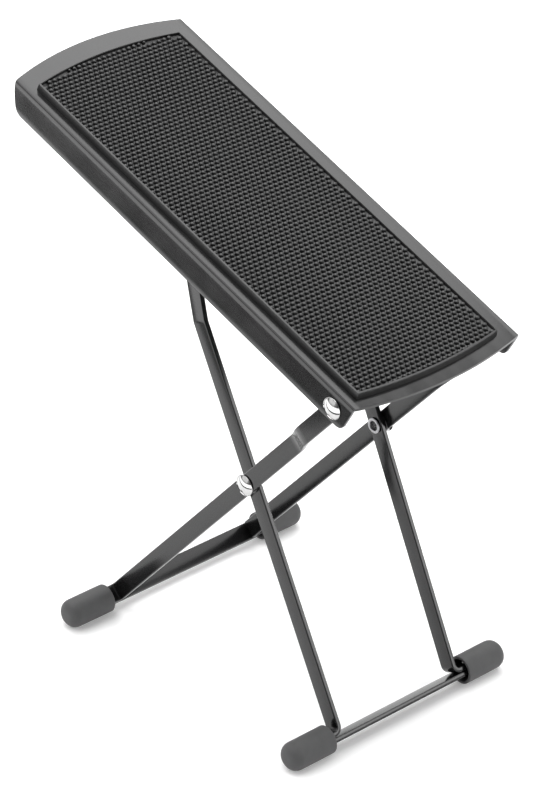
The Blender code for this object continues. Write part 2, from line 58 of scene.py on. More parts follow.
STRIP_W, STRIP_T, STRIP_EDGE = 0.0097, 0.0027, 0.00060
OUTER_ANGLE = math.radians(50.76)
OUTER_FOOT_TO_CROSS, OUTER_CROSS_TO_PIVOT = 0.15373, 0.10585
OUTER_Y, OUTER_JOG, OUTER_JOG_AT, OUTER_JOG_R, OUTER_BEND_R = 0.04780, 0.0054, (0.0560, 0.0680), 0.016, 0.0012
INNER_FOOT_TO_CROSS, INNER_CROSS_TO_ROD = 0.13674, 0.13670
INNER_Y, INNER_LEAN = 0.04372, 0.014
INNER_KINK, INNER_KINK_IN, INNER_BEND_R = (0.0850, 0.1240), 0.0070, 0.0024
CAP_R, CAP_BORE_R, CAP_ROUND, CAP_FLOOR = 0.00775, 0.0062, 0.0056, 0.0030
CAP_OUTER_Y, CAP_INNER_Y = (0.0537, 0.0814), (0.0467, 0.0744)
HEAD_R, HEAD_H, SHANK_R = 0.0058, 0.0021, 0.0030
FLARE_R, FLARE_H, TAIL_BORE_R, HOLE_R = 0.0042, 0.0010, 0.0026, 0.00309
ROD_R, ROD_HALF = 0.0030, 0.0443
RACK_Y, RACK_FOOT, RACK_T, RACK_DROP = (0.0386, 0.0404), 0.0080, 0.0018, 0.0112
NOTCHES, NOTCH_PITCH, TOOTH_CLEAR = 6, 0.0105, 0.00015
FOLD, FOLD_RATIO = math.radians(65.5), 1.6875
FOOT_RIVET_R, FOOT_RIVET_HEAD_R = 0.0016, 0.0029
GAP = 0.0003
STUD_ALONG, STUD_ACROSS = 0.00271, 0.00330     # staggered rows of the mat
STUD_BASE_R, STUD_TOP_R, STUD_H = 0.00142, 0.00106, 0.00170
STUD_SHORT, STUD_LONG = 0.92, 1.02             # the studs are slightly oval, longer across the plate

CROSS_H = OUTER_FOOT_TO_CROSS * math.sin(OUTER_ANGLE)
INNER_ANGLE = math.asin(CROSS_H / INNER_FOOT_TO_CROSS)
OUTER_DIR = np.array([math.cos(OUTER_ANGLE), 0.0, math.sin(OUTER_ANGLE)])
INNER_DIR = np.array([-math.cos(INNER_ANGLE), 0.0, math.sin(INNER_ANGLE)])
PLATE_UP = np.array([-math.cos(TILT), 0.0, math.sin(TILT)])
PLATE_N = np.array([math.sin(TILT), 0.0, math.cos(TILT)])
foot_outer = np.array([0.0, 0.0, CAP_R])
crossing = foot_outer + OUTER_FOOT_TO_CROSS * OUTER_DIR
pivot = crossing + OUTER_CROSS_TO_PIVOT * OUTER_DIR
low_corner = pivot - PIVOT_FROM_CORNER * PLATE_UP + PIVOT_BELOW_TOP * PLATE_N
x_far = (low_corner + (PLATE_L + SAG_HIGH) * PLATE_UP)[0]
x_near = (low_corner - SAG_LOW * PLATE_UP)[0]
shift = np.array([-0.5 * (x_far + x_near), 0.0, 0.0])
foot_outer, crossing, pivot, low_corner = (p + shift for p in (foot_outer, crossing, pivot, low_corner))
rod = crossing + INNER_CROSS_TO_ROD * INNER_DIR
ROD_ALONG = float(np.dot(rod - low_corner, PLATE_UP))
ROD_BELOW = float(-np.dot(rod - low_corner, PLATE_N))


inner_tail = INNER_Y - STRIP_T - GAP - 0.0001
plate_tail = OUTER_Y + OUTER_JOG - STRIP_T - GAP


def local_frame(origin, angle):
    return Matrix.Translation(Vector(origin)) @ Matrix.Rotation(angle, 4, "Y")


OUTER = local_frame(foot_outer, -OUTER_ANGLE)
INNER = local_frame(crossing, -(math.pi - INNER_ANGLE))
PLATE = local_frame(pivot, TILT)
CROSS_X = OUTER_FOOT_TO_CROSS
PIVOT_X = OUTER_FOOT_TO_CROSS + OUTER_CROSS_TO_PIVOT
FOOT_IN_X = -INNER_FOOT_TO_CROSS
TAB_MID = GAP / 2 + STRIP_T / 2


# ------------------------------------------------------------------ camera
CAMERA_AT = Vector((1.353186 + shift[0], -1.220836, 1.263329))
CAMERA_RIGHT = Vector((0.66782487, 0.74331988, 0.0385422))
CAMERA_UP = Vector((-0.41938609, 0.33300137, 0.84452673))
CAMERA_BACK = Vector((0.6149189, -0.58016002, 0.53412461))
camera_data = bpy.data.cameras.new("camera")
camera_data.sensor_fit = "AUTO"
camera_data.sensor_width = 36.0
camera_data.lens = 4133.2 * 36.0 / 800.0
camera_data.clip_start, camera_data.clip_end = 0.1, 100.0
camera = bpy.data.objects.new("camera", camera_data)
bpy.context.scene.collection.objects.link(camera)
camera.matrix_world = Matrix((
    (CAMERA_RIGHT.x, CAMERA_UP.x, CAMERA_BACK.x, CAMERA_AT.x),
    (CAMERA_RIGHT.y, CAMERA_UP.y, CAMERA_BACK.y, CAMERA_AT.y),
    (CAMERA_RIGHT.z, CAMERA_UP.z, CAMERA_BACK.z, CAMERA_AT.z),
    (0.0, 0.0, 0.0, 1.0)))
bpy.context.scene.camera = camera


# ------------------------------------------------------------------ materials
class Nodes:
    """A small helper that adds shader nodes and links them."""

    def __init__(self, name):
        self.material = bpy.data.materials.new(name)
        self.material.use_nodes = True
        self.tree = self.material.node_tree
        self.shader = self.tree.nodes["Principled BSDF"]
        self.place = self.add("ShaderNodeTexCoord").outputs["Object"]

    def add(self, kind, **settings):
        node = self.tree.nodes.new(kind)
        for key, value in settings.items():
            setattr(node, key, value)
        return node

    def link(self, source, target):
        self.tree.links.new(source, target)

    def noise(self, scale, detail=4.0, roughness=0.55, stretch=None):
        node = self.add("ShaderNodeTexNoise")
        node.inputs["Scale"].default_value = scale
        node.inputs["Detail"].default_value = detail
        node.inputs["Roughness"].default_value = roughness
        if stretch is None:
            self.link(self.place, node.inputs["Vector"])
        else:
            mapping = self.add("ShaderNodeMapping")
            mapping.inputs["Scale"].default_value = stretch
            self.link(self.place, mapping.inputs["Vector"])
            self.link(mapping.outputs["Vector"], node.inputs["Vector"])
        return node.outputs["Fac"]

    def spread(self, value, lo, hi, out_lo, out_hi, smooth=True):
        node = self.add("ShaderNodeMapRange")
        node.interpolation_type = "SMOOTHSTEP" if smooth else "LINEAR"
        for key, v in (("From Min", lo), ("From Max", hi), ("To Min", out_lo), ("To Max", out_hi)):
            node.inputs[key].default_value = v
        self.link(value, node.inputs["Value"])
        return node.outputs["Result"]

    def math(self, operation, a, b):
        node = self.add("ShaderNodeMath", operation=operation)
        for i, v in enumerate((a, b)):
            if isinstance(v, (int, float)):
                node.inputs[i].default_value = v
            else:
                self.link(v, node.inputs[i])
        return node.outputs["Value"]

    def colours(self, factor, first, second):
        node = self.add("ShaderNodeMix", data_type="RGBA")
        node.inputs[6].default_value = (*first, 1.0)
        node.inputs[7].default_value = (*second, 1.0)
        self.link(factor, node.inputs["Factor"])
        return node.outputs[2]

    def over(self, factor, first, second):
        """Lays a plain colour over a colour output."""
        node = self.add("ShaderNodeMix", data_type="RGBA")
        self.link(first, node.inputs[6])
        node.inputs[7].default_value = (*second, 1.0)
        self.link(factor, node.inputs["Factor"])
        return node.outputs[2]

    def bump(self, height, strength, distance, normal=None):
        node = self.add("ShaderNodeBump")
        node.inputs["Strength"].default_value = strength
        node.inputs["Distance"].default_value = distance
        self.link(height, node.inputs["Height"])
        if normal is not None:
            self.link(normal, node.inputs["Normal"])
        return node.outputs["Normal"]

    def put(self, socket, value):
        target = self.shader.inputs[socket]
        if isinstance(value, (int, float)):
            target.default_value = value
        else:
            self.link(value, target)


def lacquer():
    """Glossy black stoving lacquer on steel: faint orange peel, a film of dust, a little polish."""
    n = Nodes("black_lacquer")
    cloud = n.noise(38.0, 3.0)
    fine = n.noise(900.0, 2.0)
    colour = n.colours(n.spread(cloud, 0.35, 0.65, 0.0, 1.0), (0.0050, 0.0050, 0.0053), (0.0080, 0.0080, 0.0083))
    dust = n.spread(n.noise(2600.0, 1.0), 0.76, 0.82, 0.0, 0.25)
    n.put("Base Color", n.over(dust, colour, (0.035, 0.035, 0.035)))
    rough = n.math("ADD", n.spread(cloud, 0.3, 0.7, 0.165, 0.195), n.spread(fine, 0.3, 0.7, -0.01, 0.01))
    n.put("Roughness", n.math("ADD", rough, n.math("MULTIPLY", dust, 0.15)))
    n.put("Normal", n.bump(n.noise(300.0, 2.0, 0.45), 0.014, 0.0004))
    n.put("Specular IOR Level", 0.5)
    return n.material


def rubber():
    """Black rubber with a soft bloom and a fine moulded grain."""
    n = Nodes("black_rubber")
    cloud = n.noise(55.0, 4.0)
    fine = n.noise(1500.0, 3.0)
    colour = n.colours(n.spread(cloud, 0.3, 0.7, 0.0, 1.0), (0.0070, 0.0070, 0.0072), (0.0100, 0.0100, 0.0102))
    n.put("Base Color", n.over(n.spread(fine, 0.68, 0.80, 0.0, 0.25), colour, (0.022, 0.022, 0.022)))
    n.put("Roughness", n.spread(cloud, 0.3, 0.7, 0.36, 0.44))
    n.put("Normal", n.bump(fine, 0.06, 0.0002))
    n.put("Specular IOR Level", 0.6)
    return n.material


def vinyl():
    """Dark grey dipped vinyl: almost matt, faint flow marks, slightly uneven skin."""
    n = Nodes("grey_vinyl")
    cloud = n.noise(90.0, 3.0)
    fine = n.noise(1100.0, 3.0)
    colour = n.colours(n.spread(cloud, 0.3, 0.7, 0.0, 1.0), (0.0640, 0.0640, 0.0652), (0.0780, 0.0780, 0.0792))
    n.put("Base Color", n.over(n.spread(fine, 0.66, 0.80, 0.0, 0.3), colour, (0.095, 0.095, 0.095)))
    n.put("Roughness", n.spread(cloud, 0.3, 0.7, 0.54, 0.64))
    n.put("Normal", n.bump(fine, 0.08, 0.0003, n.bump(n.noise(240.0, 2.0), 0.06, 0.0008)))
    n.put("Specular IOR Level", 0.4)
    return n.material


def nickel(name, tail):
    """Bright nickel plating with a faint haze and fine hairlines; the rolled tail, nearer to the
    middle plane than this, has lost its shine."""
    n = Nodes(name)
    split = n.add("ShaderNodeSeparateXYZ")
    n.link(n.place, split.inputs["Vector"])
    away = n.math("ABSOLUTE", split.outputs["Y"], 0.0)
    dull = n.spread(away, tail, tail + 0.0003, 1.0, 0.0)
    cloud = n.noise(420.0, 3.0)
    lines = n.noise(700.0, 2.0, 0.6, (1.0, 9.0, 1.0))
    bright = n.colours(n.spread(cloud, 0.3, 0.7, 0.0, 1.0), (0.50, 0.50, 0.50), (0.56, 0.557, 0.553))
    n.put("Base Color", n.over(dull, bright, (0.36, 0.36, 0.37)))
    n.put("Metallic", 1.0)
    rough = n.math("ADD", n.spread(cloud, 0.3, 0.7, 0.05, 0.10), n.spread(lines, 0.55, 0.75, 0.0, 0.04))
    n.put("Roughness", n.math("ADD", rough, n.math("MULTIPLY", dull, 0.25)))
    n.put("Normal", n.bump(lines, 0.03, 0.0001))
    return n.material


def zinc():
    """Dull zinc plating with a cloudy, slightly blue passivation."""
    n = Nodes("dull_zinc")
    cloud = n.noise(260.0, 4.0)
    spangle = n.noise(1400.0, 2.0)
    n.put("Base Color", n.colours(n.spread(cloud, 0.3, 0.7, 0.0, 1.0), (0.46, 0.47, 0.49), (0.62, 0.62, 0.61)))
    n.put("Metallic", 1.0)
    n.put("Roughness", n.math("ADD", n.spread(cloud, 0.3, 0.7, 0.26, 0.38), n.spread(spangle, 0.3, 0.7, -0.03, 0.03)))
    n.put("Normal", n.bump(spangle, 0.08, 0.0002))
    return n.material


LACQUER, RUBBER, VINYL, ZINC = lacquer(), rubber(), vinyl(), zinc()
NICKEL = nickel("bright_nickel", inner_tail + 0.0006)
NICKEL_PLATE = nickel("bright_nickel_plate", plate_tail + 0.0006)


# ------------------------------------------------------------------ mesh helpers
def mesh_object(name, points, faces, matrix, sharp=34.0, weld=1e-6):
    mesh = bpy.data.meshes.new(name)
    mesh.from_pydata([tuple(map(float, p)) for p in points], [], [tuple(map(int, f)) for f in faces])
    bm = bmesh.new()
    bm.from_mesh(mesh)
    bmesh.ops.remove_doubles(bm, verts=bm.verts, dist=weld)
    bmesh.ops.dissolve_degenerate(bm, dist=1e-8, edges=bm.edges)
    bmesh.ops.recalc_face_normals(bm, faces=bm.faces)
    bm.to_mesh(mesh)
    bm.free()
    mesh.transform(matrix)
    made = bpy.data.objects.new(name, mesh)
    bpy.context.scene.collection.objects.link(made)
    mesh.shade_smooth()
    mesh.set_sharp_from_angle(angle=math.radians(sharp))
    return made


def settle(obj, sharp=34.0):
    """Applies the modifiers, so that the mesh itself holds the finished shape."""
    graph = bpy.context.evaluated_depsgraph_get()
    bpy.context.view_layer.update()
    made = bpy.data.meshes.new_from_object(obj.evaluated_get(graph))
    obj.modifiers.clear()
    obj.data = made
    made.shade_smooth()
    made.set_sharp_from_angle(angle=math.radians(sharp))
    return obj


def bevel(obj, width, segments=3, angle=40.0):
    mod = obj.modifiers.new("edge", "BEVEL")
    mod.width, mod.segments = width, segments
    mod.limit_method, mod.angle_limit = "ANGLE", math.radians(angle)
    mod.use_clamp_overlap = True
    mod.harden_normals = False
    return obj


def drill(obj, cutters):
    """Cuts each helper out of the object, then removes the helpers."""
    for cutter in cutters:
        mod = obj.modifiers.new("hole", "BOOLEAN")
        mod.operation, mod.object, mod.solver = "DIFFERENCE", cutter, "EXACT"
    settle(obj)
    for cutter in cutters:
        bpy.data.objects.remove(cutter, do_unlink=True)
    return obj


def lathe(name, profile, at, matrix, segments=72, sharp=34.0, weld=1e-6):
    """Turns (radius, y) points about the line along local Y through (x, z)."""
    x0, z0 = at
    points, faces, rings = [], [], []
    for radius, y in profile:
        if radius < 1e-7:
            rings.append([len(points)])
            points.append((x0, y, z0))
            continue
        rings.append(list(range(len(points), len(points) + segments)))
        points += [(x0 + radius * math.cos(2 * math.pi * k / segments), y,
                    z0 + radius * math.sin(2 * math.pi * k / segments)) for k in range(segments)]
    for first, second in zip(rings, rings[1:]):
        for k in range(segments):
            j = (k + 1) % segments
            if len(first) == 1 and len(second) > 1:
                faces.append((first[0], second[k], second[j]))
            elif len(second) == 1 and len(first) > 1:
                faces.append((first[k], second[0], first[j]))
            elif len(first) > 1:
                faces.append((first[k], second[k], second[j], first[j]))
    return mesh_object(name, points, faces, matrix, sharp, weld)


def arc(cx, cy, radius, a0, a1, steps):
    return [(cx + radius * math.cos(a0 + (a1 - a0) * i / steps),
             cy + radius * math.sin(a0 + (a1 - a0) * i / steps)) for i in range(steps + 1)]


def pin_cutter(x, z, radius, y0, y1, matrix):
    return lathe("cutter", [(0.0, y0), (radius, y0), (radius, y1), (0.0, y1)], (x, z), matrix, 48)


def finish_piece(obj, material, body, *nodes):
    obj.data.materials.clear()
    obj.data.materials.append(material)
    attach(obj, body)
    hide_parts(*nodes)
    return obj


# ------------------------------------------------------------------ flat bar
def bar_stations(path, radii, arc_steps=10, straight=0.012):
    """(distance, point, normal) along the middle line of a bent bar."""
    path = [np.array(p, float) for p in path]
    out, s = [], 0.0
    position = path[0]
    for i in range(1, len(path)):
        d0 = (path[i] - path[i - 1]) / np.linalg.norm(path[i] - path[i - 1])
        if i < len(path) - 1:
            d1 = (path[i + 1] - path[i]) / np.linalg.norm(path[i + 1] - path[i])
            turn = math.atan2(d0[0] * d1[1] - d0[1] * d1[0], float(np.dot(d0, d1)))
            radius = radii[i - 1] + STRIP_T / 2
            back = radius * math.tan(abs(turn) / 2)
        else:
            turn, radius, back = 0.0, 0.0, 0.0
        stop = path[i] - d0 * back
        length = float(np.linalg.norm(stop - position))
        steps = max(1, int(math.ceil(length / straight)))
        for k in range(steps):
            p = position + (stop - position) * k / steps
            out.append((s + length * k / steps, p, np.array([-d0[1], d0[0]])))
        s += length
        if turn:
            side = 1.0 if turn > 0 else -1.0
            centre = stop + side * radius * np.array([-d0[1], d0[0]])
            for k in range(arc_steps):
                a = turn * k / arc_steps
                c, q = math.cos(a), math.sin(a)
                d = np.array([c * d0[0] - q * d0[1], q * d0[0] + c * d0[1]])
                n = np.array([-d[1], d[0]])
                out.append((s + radius * abs(a), centre - side * radius * n, n))
            s += radius * abs(turn)
            c, q = math.cos(turn), math.sin(turn)
            d = np.array([c * d0[0] - q * d0[1], q * d0[0] + c * d0[1]])
            position = centre - side * radius * np.array([-d[1], d[0]])
        else:
            position = stop
            out.append((s, stop, np.array([-d0[1], d0[0]])))
    return out


def bar(name, path, radii, matrix, round_end=None, edge=STRIP_EDGE, edge_steps=5):
    """Flat bar with rounded edges that follows a bent path in local X and Y. round_end is the
    centre of its rounded end, on the last straight stretch."""
    half_w, half_t = STRIP_W / 2, STRIP_T / 2
    corner = [(edge * (1 - math.sin(a)), half_t - edge * (1 - math.cos(a)))
              for a in np.linspace(0, math.pi / 2, edge_steps + 1)]      # (inset from the edge, height)
    corner = corner + [(d, -t) for d, t in reversed(corner)]
    stations = bar_stations(path, radii)
    points, loops = [], []

    def ring(where, normal, along, spin):
        """One cross-section; spin turns it round the end's centre from 0 to a quarter turn."""
        loop = []
        for sign in (1.0, -1.0):
            order = corner if sign > 0 else list(reversed(corner))
            for inset, height in order:
                reach = half_w - inset
                p = where + along * reach * math.sin(spin) + normal * height
                loop.append(len(points))
                points.append((p[0], p[1], sign * reach * math.cos(spin)))
        return loop

    if round_end is None:
        for s, p, n in stations:
            loops.append(ring(p, n, np.array([n[1], -n[0]]), 0.0))
    else:
        last_p, last_n = stations[-1][1], stations[-1][2]
        along = np.array([last_n[1], -last_n[0]])
        centre = last_p + along * (round_end - float(np.dot(last_p, along)))
        for s, p, n in stations:
            if float(np.dot(p - centre, along)) > -0.0015 and np.allclose(n, last_n, atol=1e-6):
                continue
            loops.append(ring(p, n, np.array([n[1], -n[0]]), 0.0))
        for spin in np.linspace(0.0, math.pi / 2, 15):
            loops.append(ring(centre, last_n, along, spin))
    faces = [tuple(reversed(loops[0]))]
    size = len(loops[0])
    for first, second in zip(loops, loops[1:]):
        for k in range(size):
            j = (k + 1) % size
            faces.append((first[k], first[j], second[j], second[k]))
    if round_end is None:
        faces.append(tuple(loops[-1]))
    return mesh_object(name, points, faces, matrix, 40.0, 2e-6)


def foot_rivet_cutter(foot_x, y, matrix):
    ring = [(FOOT_RIVET_R + GAP) * np.array([math.cos(a), math.sin(a)])
            for a in np.linspace(0, 2 * math.pi, 32, endpoint=False)]
    n = len(ring)
    points = [(foot_x + end, y + p[0], p[1]) for end in (-0.006, 0.006) for p in ring]
    faces = [tuple(range(n)), tuple(range(2 * n - 1, n - 1, -1))]
    faces += [(i, (i + 1) % n, n + (i + 1) % n, n + i) for i in range(n)]
    return mesh_object("cutter", points, faces, matrix)


def inner_y(x):
    return INNER_Y + INNER_LEAN * x


SIDES = (("left", -1), ("right", 1))


def outer_leg(label, side):
    mid = OUTER_Y - STRIP_T / 2
    path = [(TAB_MID, side * 0.0738), (TAB_MID, side * mid),
            (CROSS_X + OUTER_JOG_AT[0], side * mid),
            (CROSS_X + OUTER_JOG_AT[1], side * (mid + OUTER_JOG)),
            (PIVOT_X + STRIP_W / 2, side * (mid + OUTER_JOG))]
    made = bar("leg_outer_" + label, path, [OUTER_BEND_R, OUTER_JOG_R, OUTER_JOG_R], OUTER, round_end=PIVOT_X)
    lo, hi = sorted((side * 0.03, side * 0.07))
    drill(made, [pin_cutter(CROSS_X, 0.0, HOLE_R, lo, hi, OUTER), pin_cutter(PIVOT_X, 0.0, HOLE_R, lo, hi, OUTER),
                 foot_rivet_cutter(0.0, side * (CAP_OUTER_Y[0] + 0.0062), OUTER)])
    finish_piece(made, LACQUER, "outer_frame", "outer_leg_" + label)


def inner_leg(label, side):
    half = STRIP_T / 2
    foot_x = FOOT_IN_X + TAB_MID
    top_y = inner_y(INNER_KINK[0]) - half - INNER_KINK_IN
    path = [(foot_x, side * 0.0678), (foot_x, side * (inner_y(foot_x) - half)),
            (INNER_KINK[0], side * (inner_y(INNER_KINK[0]) - half)),
            (INNER_KINK[1], side * top_y), (INNER_CROSS_TO_ROD + STRIP_W / 2, side * top_y)]
    made = bar("leg_inner_" + label, path, [INNER_BEND_R, 0.006, 0.006], INNER, round_end=INNER_CROSS_TO_ROD)
    lo, hi = sorted((side * 0.02, side * 0.07))
    drill(made, [pin_cutter(0.0, 0.0, HOLE_R, lo, hi, INNER), pin_cutter(INNER_CROSS_TO_ROD, 0.0, HOLE_R, lo, hi, INNER),
                 foot_rivet_cutter(FOOT_IN_X, side * (CAP_INNER_Y[0] + 0.0062), INNER)])
    finish_piece(made, LACQUER, "inner_frame", "inner_leg_" + label)


def crossbar(name, foot_x, reach, cap_y, matrix, body, node):
    mid = foot_x - GAP / 2 - STRIP_T / 2
    made = bar(name, [(mid, -reach), (mid, reach)], [], matrix)
    drill(made, [foot_rivet_cutter(foot_x, side * (cap_y[0] + 0.0062), matrix) for side in (-1, 1)])
    finish_piece(made, LACQUER, body, node)


for label, side in SIDES:
    outer_leg(label, side)
    inner_leg(label, side)
crossbar("crossbar_outer", 0.0, 0.0738, CAP_OUTER_Y, OUTER, "outer_frame", "outer_crossbar")
crossbar("crossbar_inner", FOOT_IN_X, 0.0678, CAP_INNER_Y, INNER, "inner_frame", "inner_crossbar")


# ------------------------------------------------------------------ tread plate
def plate_section(bend_steps=12, flange_steps=14, across_steps=44):
    top, half = PIVOT_BELOW_TOP, PLATE_W / 2
    low = top - FLANGE_H
    side = []
    bend_y = half - EASE_R * (1 - math.cos(EASE_ANGLE)) - BEND_R * math.cos(EASE_ANGLE)
    ease_z = top - BEND_R + (BEND_R - EASE_R) * math.sin(EASE_ANGLE)
    for k in range(flange_steps + 1):
        z = low + (ease_z - low) * (k / flange_steps) ** 1.2
        side.append((half, z, 1.0, 0.0))
    for k in range(1, 9):
        a = EASE_ANGLE * k / 8
        side.append((half - EASE_R * (1 - math.cos(a)), ease_z + EASE_R * math.sin(a), math.cos(a), math.sin(a)))
    for k in range(1, bend_steps + 1):
        a = EASE_ANGLE + (0.5 * math.pi - EASE_ANGLE) * k / bend_steps
        side.append((bend_y + BEND_R * math.cos(a), top - BEND_R + BEND_R * math.sin(a),
                     math.cos(a), math.sin(a)))
    across = [(bend_y * (1 - 2 * k / across_steps), top, 0.0, 1.0) for k in range(1, across_steps)]
    far = [(-y, z, -ny, nz) for y, z, ny, nz in reversed(side)]
    return side + across + far


def end_offsets(y, z):
    half, top = PLATE_W / 2, PIVOT_BELOW_TOP

    def bulge(sag):
        radius = (half * half + sag * sag) / (2 * sag)
        return math.sqrt(max(radius * radius - y * y, 0.0)) - (radius - sag)

    down = top - z
    low_end, high_end = bulge(SAG_LOW), bulge(SAG_HIGH)
    if down > BEND_R * 0.3:
        part = (down - BEND_R * 0.3) / (FLANGE_H - BEND_R * 0.3)
        low_end -= FLANGE_SET_LOW * part ** 1.15
        high_end -= FLANGE_SET_HIGH * part ** 1.6
        rise = FLANGE_CORNER - (FLANGE_H - down)
        if rise > 0:
            cut = FLANGE_CORNER - math.sqrt(max(FLANGE_CORNER ** 2 - rise ** 2, 0.0))
            low_end -= cut
            high_end -= cut
    return low_end, high_end


def build_plate():
    section = plate_section()
    half_in = PLATE_W / 2 - SHEET_T
    points, faces = [], []
    for y, z, ny, nz in section:
        low_end, high_end = end_offsets(y, z)
        x_low, x_high = PIVOT_FROM_CORNER + low_end, PIVOT_FROM_CORNER - PLATE_L - high_end
        if abs(ny) > math.cos(EASE_ANGLE) - 1e-6:
            yi, zi = math.copysign(half_in, ny), min(z, PIVOT_BELOW_TOP - SHEET_T - BEND_IN_R)
        elif nz > 1 - 1e-9:
            yi, zi = y, z - SHEET_T
        else:
            yi = math.copysign(half_in - BEND_IN_R, ny) + ny * BEND_IN_R
            zi = PIVOT_BELOW_TOP - SHEET_T - BEND_IN_R + nz * BEND_IN_R
        points += [(x_high, y, z), (x_low, y, z), (x_high, yi, zi), (x_low, yi, zi)]
    last = len(section) - 1
    for i in range(last):
        a, b = 4 * i, 4 * (i + 1)
        faces += [(a, a + 1, b + 1, b), (a + 2, b + 2, b + 3, a + 3),
                  (a, b, b + 2, a + 2), (a + 1, a + 3, b + 3, b + 1)]
    faces += [(0, 2, 3, 1), (4 * last, 4 * last + 1, 4 * last + 3, 4 * last + 2)]
    made = mesh_object("plate_pressing", points, faces, PLATE, 34.0)
    bevel(made, 0.00042, 4, 50.0)
    settle(made)
    drill(made, [pin_cutter(0.0, 0.0, HOLE_R, *ends, PLATE) for ends in ((-0.07, -0.045), (0.045, 0.07))])
    finish_piece(made, LACQUER, "plate", "tread_plate")


build_plate()


# ------------------------------------------------------------------ mat
def build_mat():
    top = PIVOT_BELOW_TOP
    y_mid, y_half = 0.5 * (MAT_Y[0] + MAT_Y[1]), 0.5 * (MAT_Y[1] - MAT_Y[0])
    x_low, x_high = PIVOT_FROM_CORNER - MAT_X[0], PIVOT_FROM_CORNER - MAT_X[1]

    def outline(grow, steps=40, corner=0.0007, slide=0.0):
        """Rounded-end outline with slightly rounded corners, moved a little to the far high corner."""
        half = y_half + grow
        ring = []
        for sag, base, sign in ((MAT_SAG_LOW, x_low + grow, 1), (MAT_SAG_HIGH, x_high - grow, -1)):
            radius = (half * half + sag * sag) / (2 * sag)
            for k in range(steps + 1):
                y = sign * half * (2 * k / steps - 1)
                if k in (0, steps):
                    continue
                ring.append((base + sign * (math.sqrt(radius * radius - y * y) - (radius - sag)), y_mid + y))
            corner_y = y_mid + sign * half
            next_base = (x_high - grow) if sign > 0 else (x_low + grow)
            ring.append((base + sign * corner * 0.1, y_mid + sign * (half - corner * 0.35)))
            ring.append((base - sign * corner * 0.35, y_mid + sign * (half - corner * 0.1)))
            for k in range(1, 60):
                ring.append((base + (next_base - base) * k / 60, corner_y))
            ring.append((next_base + sign * corner * 0.35, y_mid + sign * (half - corner * 0.1)))
            ring.append((next_base - sign * corner * 0.1, y_mid + sign * (half - corner * 0.35)))
        return [(x - slide, y + slide) for x, y in ring]

    floor_z = top + MAT_T - STUD_H - 0.00015
    rings = [(outline(MAT_DRAFT), top + GAP * 0.2), (outline(MAT_DRAFT * 0.12), top + MAT_T - 0.00040),
             (outline(MAT_DRAFT * 0.02), top + MAT_T - 0.00018), (outline(-0.00012), top + MAT_T - 0.00004),
             (outline(-0.00028), top + MAT_T), (outline(-MAT_RIM + 0.00010, slide=RIM_SLIDE), top + MAT_T),
             (outline(-MAT_RIM, slide=RIM_SLIDE), top + MAT_T - 0.00012),
             (outline(-MAT_RIM - 0.00012, slide=RIM_SLIDE), floor_z + 0.00015),
             (outline(-MAT_RIM - 0.00030, slide=RIM_SLIDE), floor_z)]
    points, faces = [], []
    n = len(rings[0][0])
    for ring, z in rings:
        points += [(x, y, z) for x, y in ring]
    for r in range(len(rings) - 1):
        for k in range(n):
            j = (k + 1) % n
            faces.append((r * n + k, r * n + j, (r + 1) * n + j, (r + 1) * n + k))
    faces.append(tuple(range(n)))
    faces.append(tuple(reversed(range((len(rings) - 1) * n, len(rings) * n))))

    def inside(x, y, margin):
        """True where a stud keeps this far inside the mat's edge."""
        if abs(y - y_mid) > y_half - margin:
            return False
        for sag, base, sign in ((MAT_SAG_LOW, x_low, 1), (MAT_SAG_HIGH, x_high, -1)):
            radius = (y_half * y_half + sag * sag) / (2 * sag)
            edge = base + sign * (math.sqrt(radius * radius - (y - y_mid) ** 2) - (radius - sag))
            if sign * (x - edge) > -margin:
                return False
        return True

    rng = random.Random(7)
    sides = 10
    crown = 0.00040
    profile = [(STUD_BASE_R, -0.00010), (STUD_TOP_R + 0.00010, STUD_H - crown - 0.00016)]
    profile += [(STUD_TOP_R * f, STUD_H - crown * f * f) for f in (1.0, 0.62)]
    column, x = 0, x_low + MAT_SAG_LOW
    while x > x_high - MAT_SAG_HIGH:
        y = y_mid - STUD_ACROSS * (15.0 if column % 2 else 14.5)
        while y < y_mid + y_half:
            size = next((q for q in (1.0, 0.82, 0.64) if inside(x, y, STUD_BASE_R * q + 0.00030)), 0.0)
            if size > 0.0:
                lift = rng.uniform(-0.00003, 0.00003)
                base = len(points)
                for radius, z in profile:
                    for k in range(sides):
                        a = 2 * math.pi * (k + 0.5) / sides
                        points.append((x + radius * size * STUD_SHORT * math.cos(a), y + radius * size * STUD_LONG * math.sin(a),
                                       floor_z + z + lift * (z > 0.0005)))
                for r in range(len(profile) - 1):
                    for k in range(sides):
                        j = (k + 1) % sides
                        faces.append((base + r * sides + k, base + r * sides + j,
                                      base + (r + 1) * sides + j, base + (r + 1) * sides + k))
                faces.append(tuple(base + (len(profile) - 1) * sides + k for k in range(sides)))
                faces.append(tuple(base + k for k in reversed(range(sides))))
            y += STUD_ACROSS
        x -= STUD_ALONG
        column += 1
    made = mesh_object("studded_mat", points, faces, PLATE, 38.0, 1e-8)
    finish_piece(made, RUBBER, "plate", "rubber_mat")


build_mat()


# ------------------------------------------------------------------ racks and rod
def rod_in_plate(fold):
    spread = math.pi - INNER_ANGLE - OUTER_ANGLE + FOLD_RATIO * fold
    along = OUTER_CROSS_TO_PIVOT - INNER_CROSS_TO_ROD * math.cos(spread)
    aside = INNER_CROSS_TO_ROD * math.sin(spread)
    turn = math.atan2(aside, along) - (OUTER_ANGLE + TILT - fold)
    reach = math.hypot(along, aside)
    return -reach * math.cos(turn), reach * math.sin(turn)


ROD_PATH = [rod_in_plate(FOLD * k / 600) for k in range(601)]


def tooth_tip(x, bottom):
    reach, height = ROD_R + TOOTH_CLEAR, bottom
    for at, middle in ROD_PATH:
        if abs(x - at) < reach:
            height = max(height, middle + math.sqrt(reach * reach - (x - at) ** 2))
    return height


